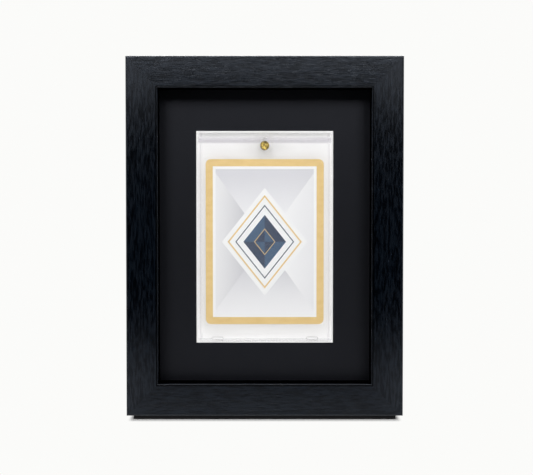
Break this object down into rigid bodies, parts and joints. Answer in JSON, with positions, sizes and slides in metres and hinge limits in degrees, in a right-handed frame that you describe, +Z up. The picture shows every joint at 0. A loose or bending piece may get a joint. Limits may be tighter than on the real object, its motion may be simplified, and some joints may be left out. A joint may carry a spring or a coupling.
{
  "type": "trading card display case",
  "caption": "Deep black box frame that stands or hangs, with a mount board that holds a clear magnetic card case, which pulls out forward and opens at its foot.",
  "frame": {"origin": "middle of the whole footprint, on the surface that the feet stand on", "axes": "+X to the viewer's right, +Y from the front to the back, +Z up"},
  "size_m": [0.146, 0.0274, 0.1915],
  "materials": {
    "black_wood": "black wood-grain wrap, satin",
    "black_strip": "black paper-covered foam strip, matt",
    "mount_card": "black faced mount board with a white core, matt",
    "foam_board": "white paper-faced foam board, matt",
    "white_paper": "white paper sheet, matt",
    "fibreboard": "brown fibreboard, sanded",
    "steel": "zinc-plated steel",
    "gold_plate": "gold-plated, polished",
    "card_stock": "printed card with a satin coat",
    "clear_acrylic": "clear polished acrylic",
    "black_rubber": "black rubber, matt",
    "clear_rubber": "grey translucent rubber, satin"
  },
  "bodies": {
    "frame": {"rail_top": "black_wood", "rail_bottom": "black_wood", "rail_left": "black_wood", "rail_right": "black_wood", "corner_v_nails": "steel", "spacer_top": "black_strip", "spacer_bottom": "black_strip", "spacer_left": "black_strip", "spacer_right": "black_strip", "mount_board": "mount_card", "holder_carrier": "foam_board", "backing_sheet": "white_paper", "filler_board": "foam_board", "back_board": "fibreboard", "turn_button_screws": "steel", "sawtooth_hanger": "steel", "hanger_nails": "steel", "base_feet": "black_rubber", "wall_bumpers": "clear_rubber"},
    "case": {"case_back": "clear_acrylic", "keeper_magnet": "gold_plate", "card": "card_stock"},
    "lid": {"case_lid": "clear_acrylic", "lid_magnet": "gold_plate"},
    "button_upper_left": {"turn_button_upper_left": "steel"},
    "button_upper_right": {"turn_button_upper_right": "steel"},
    "button_lower_left": {"turn_button_lower_left": "steel"},
    "button_lower_right": {"turn_button_lower_right": "steel"}
  },
  "joints": [
    {"name": "case_pull", "type": "slide", "parent": "frame", "child": "case", "axis": [0, -1, 0], "range_m": [0, 0.05]},
    {"name": "lid_hinge", "type": "hinge", "parent": "case", "child": "lid", "pos_m": [0, 0.0011, 0.0415], "axis": [1, 0, 0], "range_deg": [0, 45]},
    {"name": "button_upper_left_pivot", "type": "hinge", "parent": "frame", "child": "button_upper_left", "pos_m": [-0.0674, 0.0117, 0.14475], "axis": [0, 1, 0], "continuous": true},
    {"name": "button_upper_right_pivot", "type": "hinge", "parent": "frame", "child": "button_upper_right", "pos_m": [0.0674, 0.0117, 0.14475], "axis": [0, 1, 0], "continuous": true},
    {"name": "button_lower_left_pivot", "type": "hinge", "parent": "frame", "child": "button_lower_left", "pos_m": [-0.0674, 0.0117, 0.04875], "axis": [0, 1, 0], "continuous": true},
    {"name": "button_lower_right_pivot", "type": "hinge", "parent": "frame", "child": "button_lower_right", "pos_m": [0.0674, 0.0117, 0.04875], "axis": [0, 1, 0], "continuous": true}
  ]
}
